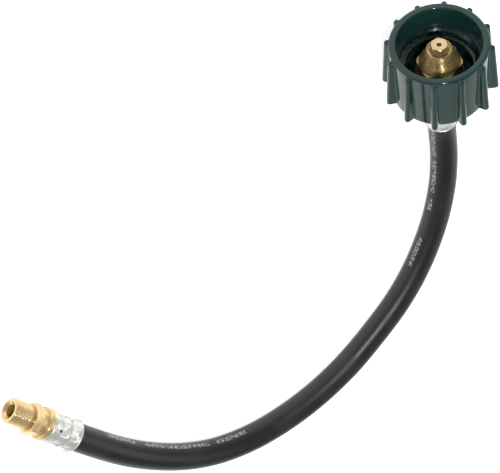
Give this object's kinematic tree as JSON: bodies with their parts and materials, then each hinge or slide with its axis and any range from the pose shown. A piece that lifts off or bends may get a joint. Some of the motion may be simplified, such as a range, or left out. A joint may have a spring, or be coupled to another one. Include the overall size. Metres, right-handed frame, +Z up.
{
  "type": "propane regulator hose",
  "caption": "Rubber LP-gas pigtail hose with a hand-tightened Acme coupling nut on one end and a male inverted-flare fitting on the other.",
  "frame": {"origin": "On the surface that the hose lies on, under the middle of the box round its two metal and plastic ends.", "axes": "+Z up from the surface. +X from the flare fitting towards the coupling nut. The nut's mouth faces +Y, tipped up by 22 degrees, and the hose loops out towards -Y."},
  "size_m": [0.2575, 0.167, 0.0529],
  "materials": {
    "green_plastic": "glossy moulded thermoplastic",
    "dark_nylon": "matt moulded nylon",
    "turned_brass": "turned, bright, slightly tarnished",
    "pale_brass": "turned, pale",
    "spring_steel": "drawn wire",
    "zinc_plate": "zinc-plated steel, crimped",
    "black_rubber": "smooth extruded rubber",
    "braid_textile": "spiralled textile yarn",
    "forged_brass": "forged and turned, satin"
  },
  "bodies": {
    "root": {"nipple_body": "turned_brass", "valve_probe": "pale_brass", "probe_retaining_ring": "turned_brass", "poppet_spring": "spring_steel", "nut_end_ferrule": "zinc_plate", "hose_cover": "black_rubber", "hose_reinforcement": "braid_textile", "hose_liner": "black_rubber", "flare_end_ferrule": "zinc_plate", "flare_fitting": "forged_brass"},
    "bushing": {"thermal_bushing": "dark_nylon"},
    "nut": {"coupling_nut": "green_plastic"},
    "poppet": {"flow_poppet": "turned_brass"}
  },
  "joints": [
    {"name": "nut_slide", "type": "slide", "parent": "root", "child": "bushing", "axis": [0, -0.9272, -0.3746], "range_m": [0, 0.0105]},
    {"name": "nut_spin", "type": "hinge", "parent": "bushing", "child": "nut", "pos_m": [0.10456, 0.01167, 0.02158], "axis": [0, 0.9272, 0.3746], "continuous": true},
    {"name": "poppet_slide", "type": "slide", "parent": "root", "child": "poppet", "axis": [0, -0.9272, -0.3746], "range_m": [0, 0.0018], "stiffness_N_per_m": 120, "springref_m": -0.0015, "deforming": ["poppet_spring"]}
  ]
}
